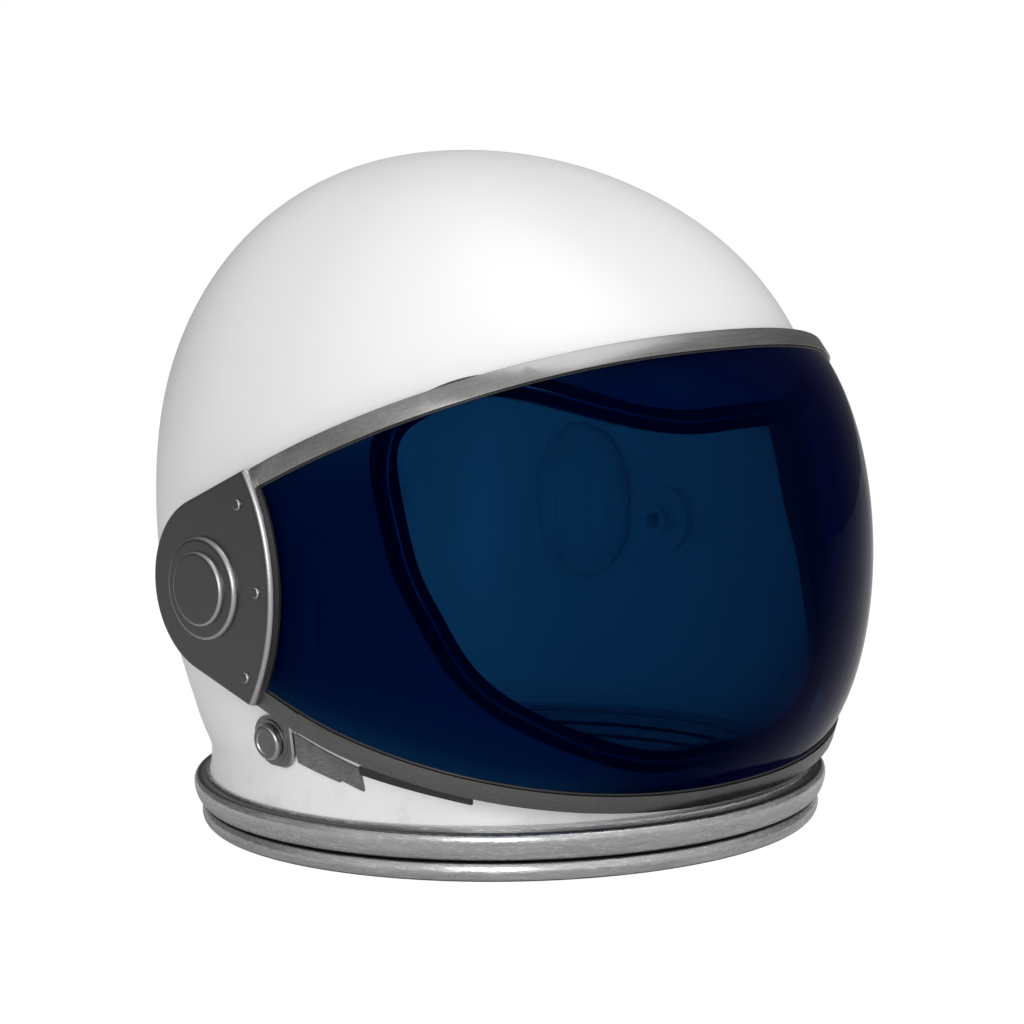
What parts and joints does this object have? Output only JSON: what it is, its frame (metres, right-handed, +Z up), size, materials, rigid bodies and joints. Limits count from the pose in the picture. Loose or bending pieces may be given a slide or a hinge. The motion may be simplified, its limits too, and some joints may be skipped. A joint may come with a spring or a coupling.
{
  "type": "astronaut helmet",
  "caption": "White dome helmet with a blue mirror visor that swings up on side pivots, a quarter-turn latch and a two-part metal neck ring.",
  "frame": {"origin": "centre of the neck bore on the plane that the lock ring rests on", "axes": "-Y the way the wearer faces, -X the wearer's right, +Z up through the crown"},
  "size_m": [0.3196, 0.3304, 0.3027],
  "materials": {
    "white_shell": "white gloss enamel over a moulded shell",
    "black_rubber": "matte black rubber",
    "blue_mirror_glass": "deep blue tint with a mirror coat",
    "band_metal": "brushed along its length",
    "dark_metal": "satin dark grey",
    "ring_metal": "worn, turned and rubbed",
    "steel_fittings": "turned",
    "bush_bronze": "turned",
    "pad_cloth": "soft woven cover over foam"
  },
  "bodies": {
    "helmet": {"helmet_shell": "white_shell", "face_trim": "black_rubber", "crown_pad": "pad_cloth", "rear_pad": "pad_cloth", "latch_escutcheon": "band_metal", "latch_strap": "dark_metal", "visor_rest_strip": "black_rubber", "neck_ring": "ring_metal", "ring_seal": "black_rubber", "retaining_wire": "steel_fittings", "side_pad_right": "pad_cloth", "side_pad_left": "pad_cloth", "pivot_bolt_right": "steel_fittings", "pivot_bolt_left": "steel_fittings", "thrust_washer_right": "steel_fittings", "thrust_washer_left": "steel_fittings", "inner_washer_right": "steel_fittings", "inner_washer_left": "steel_fittings", "pivot_nut_right": "steel_fittings", "pivot_nut_left": "steel_fittings"},
    "visor": {"visor_glass": "blue_mirror_glass", "upper_band": "band_metal", "lower_band": "band_metal", "ear_cover_right": "dark_metal", "ear_cover_left": "dark_metal", "ear_gasket_right": "black_rubber", "ear_gasket_left": "black_rubber", "ear_rivets_right": "dark_metal", "ear_rivets_left": "dark_metal", "pivot_ring_right": "dark_metal", "pivot_ring_left": "dark_metal", "pivot_cap_right": "dark_metal", "pivot_cap_left": "dark_metal", "pivot_bush_right": "bush_bronze", "pivot_bush_left": "bush_bronze"},
    "latch": {"latch_knob": "band_metal", "latch_spindle": "steel_fittings", "latch_cam": "steel_fittings"},
    "lock": {"lock_ring": "ring_metal"}
  },
  "joints": [
    {"name": "visor_swing", "type": "hinge", "parent": "helmet", "child": "visor", "pos_m": [0, 0.0279, 0.1184], "axis": [-1, 0, 0], "range_deg": [0, 70]},
    {"name": "latch_turn", "type": "hinge", "parent": "helmet", "child": "latch", "pos_m": [-0.13967, 0.001, 0.0535], "axis": [-0.9914, 0, -0.1308], "range_deg": [0, 90]},
    {"name": "lock_turn", "type": "hinge", "parent": "helmet", "child": "lock", "pos_m": [0, 0, 0], "axis": [0, 0, 1], "range_deg": [0, 30]}
  ]
}
